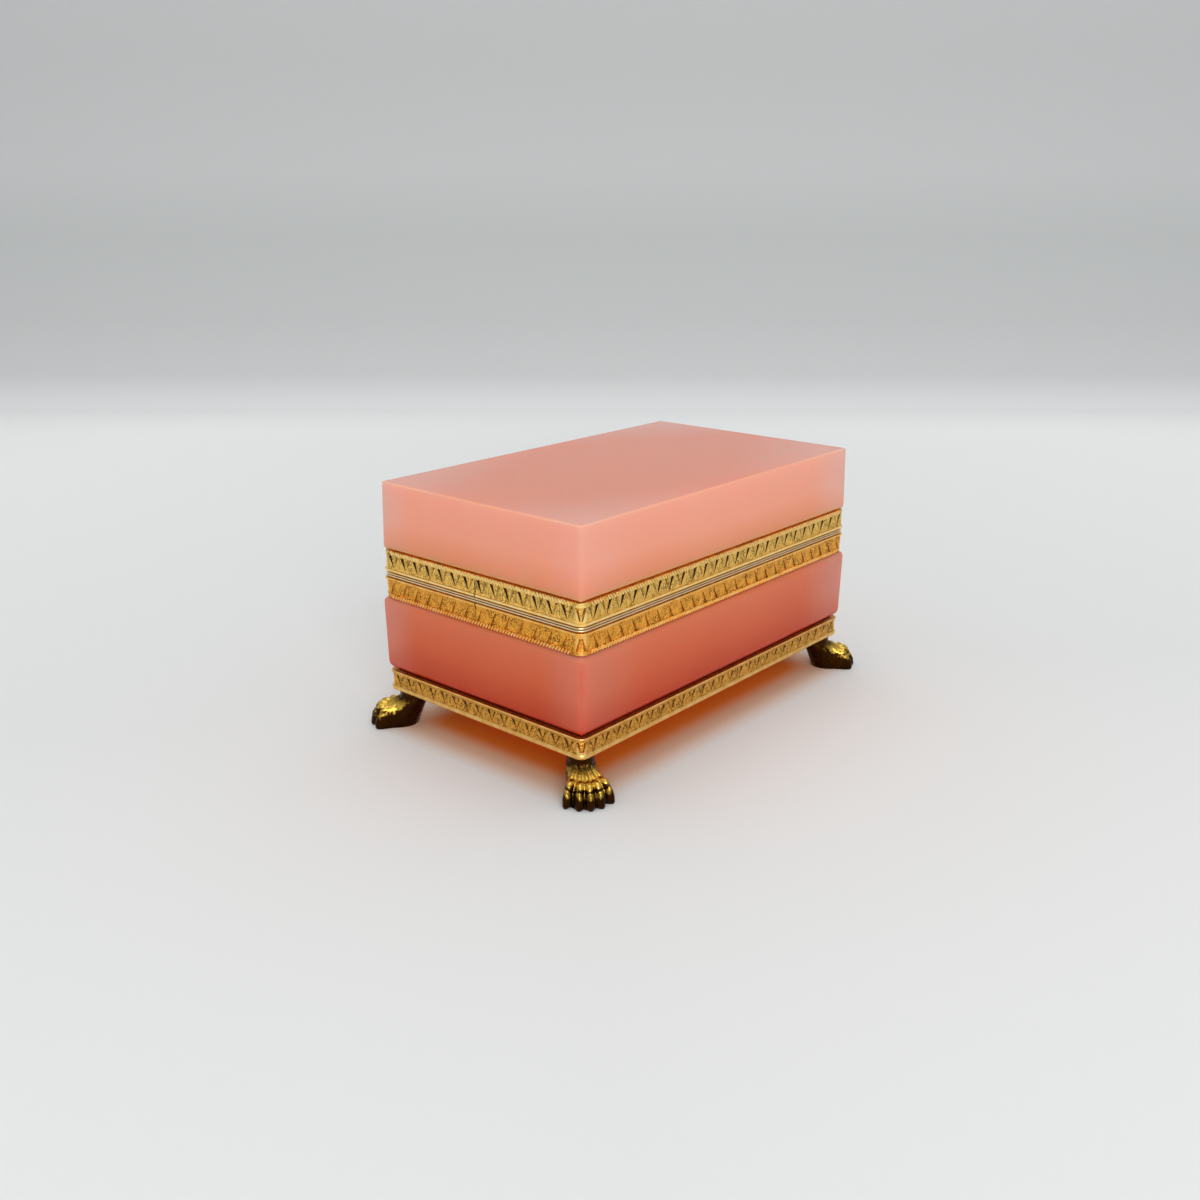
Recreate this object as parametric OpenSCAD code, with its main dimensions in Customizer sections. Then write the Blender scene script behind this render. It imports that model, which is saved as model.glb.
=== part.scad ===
// Glass casket box: a thick hollow glass lid and body in gilt brass mounts, on four lion's-paw feet.
// Millimetres, Z up. The origin is on the floor under the middle of the box.
// X runs along the long sides, the front is at -Y, and the hinge is along the back at +Y.
// "out" always means how far a surface stands outside the reference outline, box_l by box_w.

/* [Overall] */
// Length of the lid glass along its top
box_l = 150; // [120:1:220]
// Width of the lid glass across its top
box_w = 88.7; // [70:0.1:140]
// Radius of the upright corners
corner_r = 2.5; // [2:0.1:6]
// Height of the feet
foot_h = 13.2; // [11:0.1:20]
// Height of body glass in view between the two lower bands
body_show = 26.8; // [18:0.1:70]
// Height of the lid glass above its band
lid_show = 23.4; // [18:0.1:50]

/* [Glass] */
// Thickness of the glass walls
wall_t = 9; // [7:0.1:12]
// Thickness of the lid's top
lid_top_t = 8; // [5:0.1:10]
// Thickness of the body's floor
floor_t = 8; // [5:0.1:12]
// Radius of the cavities' upright corners
cavity_r = 6; // [3:0.1:12]
// Radius round the bottom of each cavity
cavity_edge_r = 3.5; // [1:0.1:6]
// Radius of the glass's upright corners, on the reference outline
glass_corner_r = 0.9; // [0.5:0.1:4]
// Polished bevel round the top of the lid
top_bevel = 0.7; // [0.3:0.1:1.5]
// How far the lid glass swells towards its lower edge
lid_flare = 0.45; // [0:0.05:1]
// Rounding of the lid glass above its band
lid_edge_r = 1.6; // [1:0.1:2.4]
// How far the body glass stands out at its top
body_out = 1.4; // [0.6:0.1:3]
// How far the body glass stands out low down
body_low_out = 1; // [0.4:0.1:3]
// Rounding of the body glass under its band
body_edge_r = 2; // [1:0.1:3]
// Rounding of the body glass above the base band
body_foot_r = 4; // [2:0.1:6]
// How far the necks inside the two mouth bands are set in
neck_in = 2; // [1.8:0.1:3]
// How far the neck inside the base band is set in
base_neck_in = 3.2; // [2.4:0.1:5]

/* [Mounts] */
// Height of the mouth bands
mouth_band_h = 7.2; // [6.4:0.1:12]
// Height of the base band
base_band_h = 7.2; // [6:0.1:12]
// How far the bands' edges stand out
band_out = 0.45; // [0.2:0.05:1]
// How deep the stamped field lies inside the edges
field_in = 0.35; // [0.1:0.05:0.6]
// Thickness of the bands, edge to back
band_t = 1.4; // [1:0.1:2]
// Thickness of the rim frames
rim_t = 0.95; // [0.8:0.05:1.5]
// Height of the half-round lip on each rim frame
lip_h = 0.5; // [0.3:0.05:0.8]
// How far the lips stand out
lip_out = 0.8; // [0.5:0.05:1.5]
// Thickness of the base frame
frame_t = 1.2; // [1:0.1:2]
// Width of the soldered seam in the bands
seam_w = 0.3; // [0.1:0.05:0.6]

/* [Hinge] */
// Length of the hinge
hinge_l = 60; // [30:1:90]
// Number of knuckles, lid and body together
knuckles = 7; // [3:2:11]
// Radius of the knuckles
knuckle_r = 1.45; // [1.3:0.05:1.6]
// Radius of the hinge pin
pin_r = 0.7; // [0.5:0.05:0.8]
// Thickness of the hinge leaves
leaf_t = 0.95; // [0.6:0.05:1.2]
// Height of the hinge leaves above and below the knuckles
leaf_h = 3.6; // [2.5:0.1:4]
// Angle at which the two stop ledges would touch
stop_angle = 103; // [95:1:110]

/* [Feet] */
// Distance of each foot's screw inside the two outlines at its corner
foot_in = 5.3; // [4.8:0.1:8]
// Length of the sole in front of the screw
paw_reach = 16; // [13:0.1:19]
// Length of the sole behind the screw
paw_heel = 0.8; // [0:0.1:2]
// Half width of the ankle
ankle_w = 4.4; // [3.6:0.1:5]
// Half depth of the ankle
ankle_d = 5; // [4:0.1:5.6]
// Angle between the outer toes and the middle one
toe_fan = 32; // [15:1:40]
// How far the tips of the outer toes lie to the side
toe_side = 7.8; // [5.5:0.1:8.5]
// How far the tips of the outer toes lie behind the middle one
toe_step = 3.4; // [2:0.1:6]
// Half width of a toe
toe_w = 1.75; // [1.4:0.05:2.2]
// How far the feet are turned from the diagonals: front left, front right, back left, back right
foot_turns = [9, 10, -10, 0]; // [-15:1:15]

/* [Fits] */
// Gap between the two closed rims
split_gap = 0.3; // [0.2:0.05:0.6]
// Bedding gap round the glass and the plaster
bed_gap = 0.1; // [0.05:0.01:0.2]
// Radial clearance of the pin in the knuckles
pin_gap = 0.05; // [0.02:0.01:0.1]
// Gap between neighbouring knuckles
knuckle_gap = 0.15; // [0.1:0.01:0.3]
// Clearance round the knuckles in the lips
barrel_gap = 0.25; // [0.2:0.01:0.5]
// Radial clearance of the foot screws
screw_gap = 0.05; // [0.03:0.01:0.1]

/* [Hidden] */

// colours, as the photograph shows them
glass_pink = "#E29A86";
glass_rose = "#C8674E";
gilt = "#D9A94A";
old_gilt = "#6E4A16";
plaster_white = "#E9DFD2";
steel = "#8C8C88";

// levels above the floor, each from the one below it
frame_z = foot_h;
base_top = frame_z + base_band_h;
body_band_z = base_top + body_show;
body_rim_z = body_band_z + mouth_band_h;
body_mouth = body_rim_z + rim_t;
lid_mouth = body_mouth + split_gap;
lid_band_z = lid_mouth + rim_t;
lid_band_top = lid_band_z + mouth_band_h;
lid_shoulder = lid_band_top + 0.2;
lid_top = lid_band_top + lid_show;
body_shoulder = body_band_z - 0.2;
body_neck_z = base_top + 0.5;
glass_base = frame_z + frame_t + bed_gap;
split_z = (body_mouth + lid_mouth) / 2;

// plan sizes
half_l = box_l / 2;
half_w = box_w / 2;
band_in = band_t - band_out;
groove_in = 0.2;
frame_lap = 0.5;

// hinge
axis_y = half_w + lip_out + knuckle_r - 0.5;
axis_z = split_z;
ledge_z = knuckle_r + 0.3;
ledge_t = 0.75;
ledge_y = ledge_z / tan(stop_angle / 2);
leaf_back = 0.05;
leaf_gap = 0.15;
knuckle_l = (hinge_l - (knuckles - 1) * knuckle_gap) / knuckles;

// a paw's sections by share of its height: how far the toes reach, and how wide they are
paw_heights = [0, 0.05, 0.13, 0.21, 0.28, 0.35, 0.42, 0.48, 0.53, 0.58, 0.64, 0.7, 0.75, 0.79, 0.83, 1];
paw_profile = [
    [0, 0.97], [0.05, 1], [0.21, 0.985], [0.35, 0.93], [0.48, 0.82], [0.53, 0.73], [0.58, 0.63],
    [0.7, 0.43], [0.79, 0.32], [1, 0.32]
];
toe_profile = [[0, 0.85], [0.05, 1], [0.3, 1], [0.48, 0.85], [0.58, 0.65], [0.79, 0.4]];
toe_depth = 1.6;

// feet and their screws
screw_r = 1.2;
screw_head_r = 2.1;
screw_head_h = 0.9;
screw_l = 8.5;
hole_extra = 0.6;

// curves
arc_n = 7;
cavity_n = 4;
paw_front_n = 52;
paw_back_n = 12;
toes = 5;
round_fn = 48;

// ---------- outlines ----------

// Points of a rounded rectangle at height z, counter-clockwise from the +X end of the front right corner.
function outline(hx, hy, r, z) = [
    for (q = [0 : 3])
        let (cx = (q == 0 || q == 3) ? hx - r : r - hx, cy = (q < 2) ? hy - r : r - hy)
            for (i = [0 : arc_n - 1])
                let (a = 90 * q + 90 * i / (arc_n - 1))
                    [cx + r * cos(a), cy + r * sin(a), z]
];

// The glass's outline, moved outwards by out; its upright corners are sharper than the bands'.
function ring(out, z) = outline(half_l + out, half_w + out, max(glass_corner_r + out, 0.5), z);

// The inside of a wall: in is the distance inside the reference outline, r its corner radius.
function inner_ring(in, r, z) = outline(half_l - in, half_w - in, r, z);

// A closed skin over a list of rings, each with the same number of points, capped at both ends.
module skin(rings) {
    n = len(rings[0]);
    m = len(rings);
    points = [for (ring_points = rings) for (p = ring_points) p];
    sides = [
        for (k = [0 : m - 2]) for (i = [0 : n - 1])
            let (j = (i + 1) % n, a = k * n, b = (k + 1) * n)
                each [[a + i, b + i, b + j], [a + i, b + j, a + j]]
    ];
    bottom = [[for (i = [0 : n - 1]) i]];
    top = [[for (i = [n - 1 : -1 : 0]) (m - 1) * n + i]];
    polyhedron(points, concat(bottom, sides, top), convexity = 6);
}

// A flat rounded rectangle, out from the reference outline.
module slab_outline(out, r) {
    x = half_l + out;
    y = half_w + out;
    square([2 * (x - r), 2 * y], center = true);
    square([2 * x, 2 * (y - r)], center = true);
    for (sx = [-1, 1]) for (sy = [-1, 1])
        translate([sx * (x - r), sy * (y - r)]) circle(r, $fn = round_fn);
}

// A flat ring between two rounded rectangles.
module slab_ring(out, in, in_r, z, h) {
    translate([0, 0, z]) linear_extrude(h) difference() {
        slab_outline(out, max(corner_r + out, 0.4));
        slab_outline(-in, in_r);
    }
}

// A profile carried once round the reference outline: its x is out, its y is the height.
module moulding(profile) {
    straight_x = box_l - 2 * corner_r;
    straight_y = box_w - 2 * corner_r;
    for (side = [0, 1]) rotate([0, 0, 180 * side]) {
        translate([half_l, straight_y / 2, 0]) rotate([90, 0, 0]) linear_extrude(straight_y) polygon(profile);
        translate([-straight_x / 2, half_w, 0]) rotate([90, 0, 90]) linear_extrude(straight_x) polygon(profile);
        translate([half_l - corner_r, half_w - corner_r, 0]) bend(profile);
        translate([corner_r - half_l, half_w - corner_r, 0]) rotate([0, 0, 90]) bend(profile);
    }
}

// The same profile round one upright corner.
module bend(profile) {
    rotate_extrude(angle = 90, $fn = round_fn) translate([corner_r, 0]) polygon(profile);
}

// ---------- profiles ----------

// A mouth band's profile, from its plain lip at lip_z to its rope edge; up is 1 for the lid, -1 for the body.
function mouth_profile(lip_z, up) = [
    for (p = [
        [-band_in, 0], [band_out - 0.15, 0], [band_out, 0.15], [band_out, 1.3], [band_out - field_in, 1.5],
        [band_out - field_in, mouth_band_h - 1.5], [band_out - 0.12, mouth_band_h - 1.3],
        [band_out, mouth_band_h - 0.95], [band_out, mouth_band_h - 0.35],
        [band_out - 0.15, mouth_band_h - 0.05], [band_out - 0.3, mouth_band_h], [-band_in, mouth_band_h]
    ]) [p[0], lip_z + up * p[1]]
];

// The base band: a rolled lip, the stamped field, a thin bead and a thin top edge.
function base_profile() = [
    for (p = [
        [-band_in, 0], [band_out - 0.6, 0], [band_out - 0.2, 0.2], [band_out, 0.6], [band_out, 1.3],
        [band_out - 0.15, 1.7], [band_out - field_in, 1.85], [band_out - field_in, base_band_h - 1.25],
        [band_out - 0.1, base_band_h - 1.15], [band_out - 0.1, base_band_h - 0.8],
        [band_out - 0.3, base_band_h - 0.7], [band_out - 0.3, base_band_h - 0.6],
        [band_out, base_band_h - 0.45], [band_out, base_band_h - 0.1], [band_out - 0.1, base_band_h],
        [-band_in, base_band_h]
    ]) [p[0], frame_z + p[1]]
];

// A rim frame's half-round lip; it starts at z and is lip_h high.
function lip_profile(z) = [
    [-band_in, z], [lip_out - 0.2, z], [lip_out - 0.06, z + 0.1 * lip_h / 0.5], [lip_out, z + lip_h / 2],
    [lip_out - 0.06, z + lip_h - 0.1 * lip_h / 0.5], [lip_out - 0.2, z + lip_h], [-band_in, z + lip_h]
];

// Plaster between a neck and its band, from z0 to z1.
function plaster_profile(neck, z0, z1) = [
    [-neck + bed_gap, z0], [-band_in - bed_gap, z0], [-band_in - bed_gap, z1], [-neck + bed_gap, z1]
];

// ---------- glass ----------

// Quarter round of radius r about (out, z): angles a0 to a1, measured from straight out towards up.
function round_edge(out, z, r, a0, a1) = [
    for (i = [0 : 4]) let (a = a0 + (a1 - a0) * i / 4) [out + r * cos(a), z + r * sin(a)]
];

// Outer profile of the body glass from its base up to its mouth, as [out, z].
function body_outer() = concat(
    [[-base_neck_in, glass_base], [-base_neck_in, body_neck_z]],
    round_edge(body_low_out - body_foot_r, body_neck_z + body_foot_r, body_foot_r, -90, 0),
    round_edge(body_out - body_edge_r, body_shoulder - body_edge_r, body_edge_r, 0, 90),
    [[-neck_in, body_shoulder], [-neck_in, body_rim_z - bed_gap]]
);

// Outer profile of the lid glass from its top down to its mouth.
function lid_outer() = concat(
    [[-top_bevel, lid_top], [-top_bevel * 0.3, lid_top - top_bevel * 0.3], [0, lid_top - top_bevel]],
    round_edge(lid_flare - lid_edge_r, lid_shoulder + lid_edge_r, lid_edge_r, 0, -90),
    [[-neck_in, lid_shoulder], [-neck_in, lid_band_z + bed_gap]]
);

// Rings of a cavity from its mouth at z0 to its end at z1, rounded at the end.
function cavity(z0, z1) =
    let (s = sign(z1 - z0), e = cavity_edge_r) concat(
        [inner_ring(wall_t, cavity_r, z0)],
        [for (i = [0 : cavity_n]) let (a = 90 * i / cavity_n)
            inner_ring(wall_t + e * (1 - cos(a)), max(cavity_r - e * (1 - cos(a)), 0.5), z1 - s * e * (1 - sin(a)))]
    );

module body_glass() {
    color(glass_rose) skin(concat(
        [for (p = body_outer()) ring(p[0], p[1])],
        cavity(body_rim_z - bed_gap, glass_base + floor_t)
    ));
}

module lid_glass() {
    color(glass_pink) mirror([0, 0, 1]) skin(concat(
        [for (p = lid_outer()) ring(p[0], -p[1])],
        cavity(-lid_band_z - bed_gap, lid_top_t - lid_top)
    ));
}

// ---------- setting plaster ----------

module lid_plaster() {
    color(plaster_white) moulding(plaster_profile(neck_in, lid_band_z + bed_gap, lid_band_top - 0.1));
}

module body_plaster() {
    color(plaster_white) moulding(plaster_profile(neck_in, body_band_z + 0.1, body_rim_z - bed_gap));
}

module base_plaster() {
    color(plaster_white) slab_ring(-band_in - bed_gap, base_neck_in - bed_gap, 0.4, glass_base, base_top - 0.5 - glass_base);
}

// ---------- bands ----------

// The soldered seam across a band, at the middle of the left short side.
module seam(z, h) {
    translate([-half_l - 2, -seam_w / 2, z - 1]) cube([4, seam_w, h + 2]);
}

// Room for the hinge leaves behind a band.
module leaf_pocket() {
    h = ledge_z + leaf_h + leaf_gap;
    translate([-hinge_l / 2 - leaf_gap, half_w, axis_z - h]) cube([hinge_l + 2 * leaf_gap, 4, 2 * h]);
}

module lid_band() {
    color(gilt) difference() {
        moulding(mouth_profile(lid_band_z, 1));
        seam(lid_band_z, mouth_band_h);
        leaf_pocket();
    }
}

module body_band() {
    color(gilt) difference() {
        moulding(mouth_profile(body_rim_z, -1));
        seam(body_band_z, mouth_band_h);
        leaf_pocket();
    }
}

module base_band() {
    color(gilt) moulding(base_profile());
}

// ---------- frames ----------

// Room for the hinge's barrel in the lips.
module barrel_room() {
    translate([-hinge_l / 2 - seam_w, axis_y, axis_z]) rotate([0, 90, 0])
        cylinder(h = hinge_l + 2 * seam_w, r = knuckle_r + barrel_gap, $fn = round_fn);
}

// A frame of thickness rim_t from z, with its lip from lip_z.
module rim(z, lip_z) {
    difference() {
        union() {
            slab_ring(-groove_in, wall_t + frame_lap, cavity_r, z, rim_t);
            moulding(lip_profile(lip_z));
        }
        barrel_room();
    }
}

module lid_rim() {
    color(gilt) rim(lid_mouth, lid_mouth);
}

module body_rim() {
    color(gilt) rim(body_rim_z, body_mouth - lip_h);
}

// The countersunk shape of a foot screw, grown by gap; its head is flush with the top at z = 0.
module screw_shape(gap, l) {
    rotate_extrude($fn = round_fn) polygon([
        [0, 0], [screw_head_r + gap, 0], [screw_head_r + gap, -0.15],
        [screw_r + gap, -screw_head_h], [screw_r + gap, -l], [0, -l]
    ]);
}

// Places its children at the four corners' screws.
module at_feet() {
    for (sx = [-1, 1]) for (sy = [-1, 1])
        translate([sx * (half_l - foot_in), sy * (half_w - foot_in), 0]) children();
}

module base_frame() {
    color(gilt) difference() {
        slab_ring(-band_in - bed_gap, wall_t + frame_lap, cavity_r, frame_z, frame_t);
        at_feet() translate([0, 0, frame_z + frame_t]) screw_shape(screw_gap, frame_t + 1);
    }
}

module foot_screws() {
    color(steel) at_feet() translate([0, 0, frame_z + frame_t]) difference() {
        screw_shape(0, screw_l);
        translate([-3, -0.3, -0.5]) cube([6, 0.6, 1]);
    }
}

// ---------- hinge ----------

// Middle of knuckle k along the hinge, counted from 0 at the left.
function knuckle_x(k) = -hinge_l / 2 + knuckle_l / 2 + k * (knuckle_l + knuckle_gap);

// One leaf with every second knuckle from first; it is drawn for the lid and mirrored for the body.
module hinge_leaf(first) {
    web_y = half_w + leaf_back - axis_y;
    difference() {
        union() {
            translate([-hinge_l / 2, web_y, ledge_z]) cube([hinge_l, leaf_t, leaf_h]);
            translate([-hinge_l / 2, web_y, ledge_z]) cube([hinge_l, ledge_y - web_y, ledge_t]);
            for (k = [first : 2 : knuckles - 1]) translate([knuckle_x(k) - knuckle_l / 2, 0, 0]) {
                rotate([0, 90, 0]) cylinder(h = knuckle_l, r = knuckle_r, $fn = round_fn);
                translate([0, web_y, 0.9]) cube([knuckle_l, -web_y, ledge_z - 0.9 + 0.1]);
            }
        }
        translate([-hinge_l / 2 - 1, 0, 0]) rotate([0, 90, 0])
            cylinder(h = hinge_l + 2, r = pin_r + pin_gap, $fn = round_fn);
    }
}

module lid_hinge_leaf() {
    color(gilt) translate([0, axis_y, axis_z]) hinge_leaf(1);
}

module body_hinge_leaf() {
    color(gilt) translate([0, axis_y, axis_z]) mirror([0, 0, 1]) hinge_leaf(0);
}

module hinge_pin() {
    color(steel) translate([-hinge_l / 2 - 0.3, axis_y, axis_z]) rotate([0, 90, 0])
        cylinder(h = hinge_l + 0.6, r = pin_r, $fn = round_fn);
}

// ---------- paw feet ----------
// In a paw's own frame X points to the toes, Z is up and the screw stands at the origin.

// Distance from (x0, 0) along angle a to the far side of an ellipse at c, turned by t, half axes p and q.
function reach(x0, a, c, t, p, q) =
    let (
        dx = (x0 - c[0]) * cos(t) - c[1] * sin(t), dy = -(x0 - c[0]) * sin(t) - c[1] * cos(t),
        ux = cos(a - t), uy = sin(a - t),
        k2 = ux * ux / (p * p) + uy * uy / (q * q),
        k1 = dx * ux / (p * p) + dy * uy / (q * q),
        k0 = dx * dx / (p * p) + dy * dy / (q * q) - 1,
        disc = k1 * k1 - k2 * k0
    ) disc <= 0 ? 0 : max(0, (-k1 + sqrt(disc)) / k2);

// The leg at height z: the heel leans back up to the ankle, and the instep falls to the toes.
ankle_z = 0.79 * foot_h;
function leg_back(z) = -paw_heel - (ankle_d - paw_heel) * min(1, z / ankle_z);
function leg_front(z) = max(ankle_d, paw_reach * lookup(z / foot_h, paw_profile) - toe_depth);
function leg_mid(z) = (leg_back(z) + leg_front(z)) / 2;
function leg_long(z) = (leg_front(z) - leg_back(z)) / 2;
function leg_wide(z) = let (k = min(1, z / ankle_z)) ankle_w + (1 - k * k) * 1.6;

// Toes, counted by i from -1 to 1 across the paw: each one's turn, and its tip and middle at height z.
toe_long = paw_reach * 0.28;
function toe_turn(i) = toe_fan * i;
function toe_tip(i, z) = [paw_reach - toe_step * i * i, toe_side * i] * lookup(z / foot_h, paw_profile);
function toe_mid(i, z) = toe_tip(i, z) - toe_long * [cos(toe_turn(i)), sin(toe_turn(i))];

// The paw's outline at height z.
function paw_radius(x0, a, z) =
    let (
        leg = reach(x0, a, [leg_mid(z), 0], 0, leg_long(z), leg_wide(z)),
        w = toe_w * lookup(z / foot_h, toe_profile),
        lobes = z > ankle_z ? [0] : [
            for (i = [-1 : 2 / (toes - 1) : 1]) reach(x0, a, toe_mid(i, z), toe_turn(i), toe_long, w)
        ]
    ) pow(pow(leg, 16) + pow(max(lobes), 16), 1 / 16);

// Angles round the paw, closer together across the toes.
function paw_angles() = concat(
    [for (i = [0 : paw_front_n - 1]) -75 + 150 * i / paw_front_n],
    [for (i = [0 : paw_back_n - 1]) 75 + 210 * i / paw_back_n]
);

function paw_ring(z) =
    let (x0 = leg_mid(z)) [
        for (a = paw_angles()) let (r = paw_radius(x0, a, z)) [x0 + r * cos(a), r * sin(a), z]
    ];

// A foot's top collar is a plain drum; below it the sections swell into the toes.
module paw() {
    difference() {
        skin([for (h = paw_heights) paw_ring(h * foot_h)]);
        translate([0, 0, foot_h + frame_t - screw_l - hole_extra])
            cylinder(h = screw_l, r = screw_r + screw_gap, $fn = round_fn);
    }
}

// A foot at the corner sx, sy, turned out along the diagonal and by turn more.
module foot(sx, sy, turn) {
    color(old_gilt) translate([sx * (half_l - foot_in), sy * (half_w - foot_in), 0])
        rotate([0, 0, atan2(sy, sx) + turn]) paw();
}

module foot_front_left() { foot(-1, -1, foot_turns[0]); }
module foot_front_right() { foot(1, -1, foot_turns[1]); }
module foot_back_left() { foot(-1, 1, foot_turns[2]); }
module foot_back_right() { foot(1, 1, foot_turns[3]); }

lid_glass();
lid_plaster();
lid_band();
lid_rim();
lid_hinge_leaf();
body_glass();
body_plaster();
body_band();
body_rim();
body_hinge_leaf();
hinge_pin();
base_plaster();
base_band();
base_frame();
foot_screws();
foot_front_left();
foot_front_right();
foot_back_left();
foot_back_right();
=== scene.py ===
import bpy, math
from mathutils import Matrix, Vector


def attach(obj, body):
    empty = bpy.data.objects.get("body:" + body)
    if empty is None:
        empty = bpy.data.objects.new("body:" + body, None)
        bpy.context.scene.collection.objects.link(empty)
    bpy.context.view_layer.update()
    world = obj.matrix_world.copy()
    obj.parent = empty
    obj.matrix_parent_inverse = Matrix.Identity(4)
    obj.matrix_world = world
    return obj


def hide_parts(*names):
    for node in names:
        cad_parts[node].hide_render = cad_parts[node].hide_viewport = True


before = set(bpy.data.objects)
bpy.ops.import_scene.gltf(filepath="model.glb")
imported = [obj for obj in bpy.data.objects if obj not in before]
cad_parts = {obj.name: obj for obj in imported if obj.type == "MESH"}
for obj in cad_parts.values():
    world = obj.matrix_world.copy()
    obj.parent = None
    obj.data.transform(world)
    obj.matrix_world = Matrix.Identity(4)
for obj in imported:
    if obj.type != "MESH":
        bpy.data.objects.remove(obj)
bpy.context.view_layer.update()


# ---------------------------------------------------------------------------------------------
# Floor and backdrop: one sweep of matt white paper. It lies flat under the box, turns up in a
# soft curve behind it and stands upright. Paper scatters light evenly and has next to no shine.

# Shader sockets that are told by number. A Map Range node takes a value, the range it comes from
# and the range it goes to. A Mix node of colours takes a share and two colours. A Math node takes
# its terms as 0, 1 and 2.
VALUE, FROM_LOW, FROM_HIGH, TO_LOW, TO_HIGH = range(5)
SHARE, FIRST, SECOND = 0, 6, 7


def linear(hex_colour):
    """An sRGB hex colour as the linear colour that sockets take."""
    parts = [int(hex_colour[i:i + 2], 16) / 255 for i in (1, 3, 5)]
    return [c / 12.92 if c <= 0.04045 else ((c + 0.055) / 1.055) ** 2.4 for c in parts] + [1.0]


def new_material(name):
    """An empty node material, with its node tree."""
    material = bpy.data.materials.new(name)
    material.use_nodes = True
    material.node_tree.nodes.clear()
    return material, material.node_tree


def add_node(tree, kind, inputs=None, **settings):
    """Adds one node. inputs maps a socket's name or number to a value, to the socket that feeds
    it, or to the node whose first live output feeds it."""
    node = tree.nodes.new(kind)
    for setting, value in settings.items():
        setattr(node, setting, value)
    for socket, value in (inputs or {}).items():
        if isinstance(value, bpy.types.Node):
            value = next(output for output in value.outputs if output.enabled)
        if isinstance(value, bpy.types.NodeSocket):
            tree.links.new(value, node.inputs[socket])
        else:
            node.inputs[socket].default_value = value
    return node


def pick(piece, kind, test):
    """Selects just the faces, edges or vertices whose place (and normal, for faces) pass the test,
    and stays in edit mode."""
    bpy.ops.object.mode_set(mode="EDIT")
    bpy.ops.mesh.select_mode(type=kind)
    bpy.ops.mesh.select_all(action="DESELECT")
    bpy.ops.object.mode_set(mode="OBJECT")
    mesh = piece.data
    if kind == "FACE":
        for face in mesh.polygons:
            face.select = test(face.center, face.normal)
    elif kind == "EDGE":
        for edge in mesh.edges:
            a, b = (mesh.vertices[i].co for i in edge.vertices)
            edge.select = test(a, b)
    else:
        for vertex in mesh.vertices:
            vertex.select = test(vertex.co)
    bpy.ops.object.mode_set(mode="EDIT")


def settle():
    """Puts the selected piece's place, turn and size into its mesh."""
    bpy.ops.object.transform_apply(location=True, rotation=True, scale=True)


def start(name, add, **where):
    """Deselects everything, adds a primitive, settles it and leaves it active."""
    bpy.ops.object.select_all(action="DESELECT")
    add(**where)
    piece = bpy.context.object
    piece.name = piece.data.name = name
    settle()
    return piece


SHEET_WIDE, SHEET_DEEP, WALL_HIGH = 7, 2.5, 2.2    # in metres, as every length here
BEND_AT, BEND_R = 0.5, 0.3                         # where the paper turns up, and the bend's radius
SWEEP_YAW = math.radians(-49.2)                    # faces the paper to the camera
sweep = start("paper_sweep", bpy.ops.mesh.primitive_plane_add, size=1, location=(0, 0, 0))
bpy.ops.object.mode_set(mode="EDIT")
bpy.ops.mesh.select_all(action="SELECT")
bpy.ops.transform.resize(value=(SHEET_WIDE, SHEET_DEEP, 1), center_override=(0, BEND_AT, 0))
pick(sweep, "EDGE", lambda a, b: a.y > BEND_AT - 0.1 and b.y > BEND_AT - 0.1)
bpy.ops.mesh.spin(steps=24, angle=math.radians(-90), center=(0, BEND_AT, BEND_R), axis=(1, 0, 0))
bpy.ops.mesh.extrude_region_move(TRANSFORM_OT_translate={"value": (0, 0, WALL_HIGH)})
bpy.ops.mesh.select_all(action="SELECT")
bpy.ops.mesh.remove_doubles(threshold=0.0001)
bpy.ops.transform.rotate(value=-SWEEP_YAW, orient_axis="Z", center_override=(0, 0, 0))
bpy.ops.mesh.normals_make_consistent(inside=False)
bpy.ops.object.mode_set(mode="OBJECT")
bpy.ops.object.shade_smooth()

# Matt paper: near white on the floor and painted greyer up the wall, a painted shade where less light falls on it.
paper, tree = new_material("matt_white_paper")
place = add_node(tree, "ShaderNodeTexCoord")
spot = add_node(tree, "ShaderNodeSeparateXYZ", {0: place.outputs["Object"]})
rise = add_node(tree, "ShaderNodeMapRange", {VALUE: spot.outputs["Z"], FROM_LOW: 0.0, FROM_HIGH: 0.2})
paper_and_painted_shade = add_node(tree, "ShaderNodeValToRGB", {0: rise})
paper_and_painted_shade.color_ramp.elements[0].color = linear("#E3E4E3")
paper_and_painted_shade.color_ramp.elements[1].color = linear("#C6C7C7")
for stop, colour in ((0.06, "#E2E3E3"), (0.15, "#CDCECE"), (0.35, "#C4C5C5"), (0.7, "#BFC1C0")):
    paper_and_painted_shade.color_ramp.elements.new(stop).color = linear(colour)

# How far a spot lies outside the box: the floor is painted lighter far from it, a painted light where
# the lamps fall off, and close to it takes a painted warm shadow and glow for the light that the glass passes on.
beyond = []
for axis, half in (("X", 0.075), ("Y", 0.044)):
    width = add_node(tree, "ShaderNodeMath", {0: spot.outputs[axis]}, operation="ABSOLUTE")
    beyond.append(add_node(tree, "ShaderNodeMath", {0: width, 1: half}, operation="SUBTRACT"))
distance = add_node(tree, "ShaderNodeMath", {0: beyond[0], 1: beyond[1], 2: 0.01}, operation="SMOOTH_MAX")
far = add_node(tree, "ShaderNodeMapRange", {VALUE: distance, FROM_LOW: 0.05, FROM_HIGH: 0.55})
ground = add_node(tree, "ShaderNodeMapRange", {
    VALUE: spot.outputs["Z"], FROM_LOW: 0.0, FROM_HIGH: 0.009, TO_LOW: 1.0, TO_HIGH: 0.0})
away = add_node(tree, "ShaderNodeMath", {0: far, 1: ground}, operation="MULTIPLY")
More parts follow.
